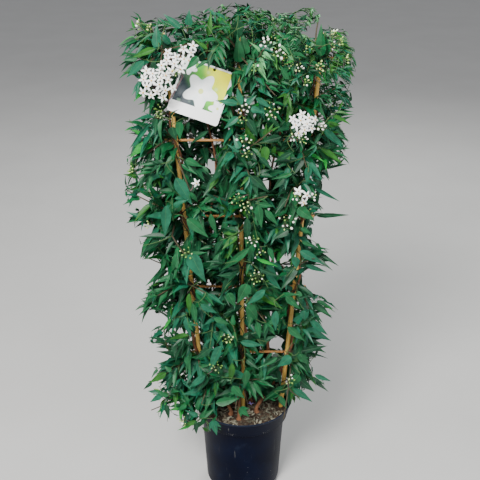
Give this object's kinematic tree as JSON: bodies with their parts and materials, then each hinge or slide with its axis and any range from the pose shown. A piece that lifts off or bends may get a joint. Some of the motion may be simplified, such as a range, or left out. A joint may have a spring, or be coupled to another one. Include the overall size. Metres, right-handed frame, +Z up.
{
  "type": "potted climbing jasmine on a cane fan trellis",
  "caption": "Evergreen climbing shrub in a round nursery pot, twined up a fan of canes tied to crossbars, with leaves, star flowers and a picture card.",
  "frame": {"origin": "middle of the pot's flat underside", "axes": "+Z up; the fan of canes lies in the XZ plane with its crossbars behind the canes on the +Y side; the front, with the card and most flowers, faces -Y"},
  "size_m": [0.4882, 0.2515, 1.1732],
  "materials": {
    "black_plastic": "blue-black moulded nursery pot, satin, with dusty scuffs along the collar",
    "compost": "dark brown bark compost with pale wood chips on top",
    "bamboo": "golden tan bamboo cane with paler rings at its nodes",
    "split_cane": "orange-brown split cane",
    "dark_wire": "dark plastic-covered tie wire",
    "bark": "reddish brown woody stem, paler and greener higher up",
    "foliage": "dark blue-green glossy leaves, young tips paler, with white star flowers and pale buds",
    "label_card": null
  },
  "bodies": {
    "root": {"cane_left": "bamboo", "cane_middle": "bamboo", "cane_right": "bamboo", "crossbar_1": "split_cane", "crossbar_2": "split_cane", "crossbar_3": "split_cane", "crossbar_4": "split_cane", "crossbar_5": "split_cane", "label": "label_card", "label_loop": "dark_wire", "leaves_back_left_1": "foliage", "leaves_back_left_2": "foliage", "leaves_back_left_3": "foliage", "leaves_back_left_4": "foliage", "leaves_back_left_5": "foliage", "leaves_back_right_1": "foliage", "leaves_back_right_2": "foliage", "leaves_back_right_3": "foliage", "leaves_back_right_4": "foliage", "leaves_back_right_5": "foliage", "leaves_front_left_1": "foliage", "leaves_front_left_2": "foliage", "leaves_front_left_3": "foliage", "leaves_front_left_4": "foliage", "leaves_front_left_5": "foliage", "leaves_front_middle_1": "foliage", "leaves_front_middle_2": "foliage", "leaves_front_middle_3": "foliage", "leaves_front_middle_4": "foliage", "leaves_front_middle_5": "foliage", "leaves_front_right_1": "foliage", "leaves_front_right_2": "foliage", "leaves_front_right_3": "foliage", "leaves_front_right_4": "foliage", "leaves_front_right_5": "foliage", "leaves_skirt": "foliage", "pot": "black_plastic", "soil": "compost", "stem_back_left": "bark", "stem_back_right": "bark", "stem_left": "bark", "stem_middle": "bark", "stem_right": "bark", "tie_1_left": "dark_wire", "tie_1_middle": "dark_wire", "tie_1_right": "dark_wire", "tie_2_left": "dark_wire", "tie_2_middle": "dark_wire", "tie_2_right": "dark_wire", "tie_3_left": "dark_wire", "tie_3_middle": "dark_wire", "tie_3_right": "dark_wire", "tie_4_left": "dark_wire", "tie_4_middle": "dark_wire", "tie_4_right": "dark_wire", "tie_5_left": "dark_wire", "tie_5_middle": "dark_wire", "tie_5_right": "dark_wire"}
  },
  "joints": []
}
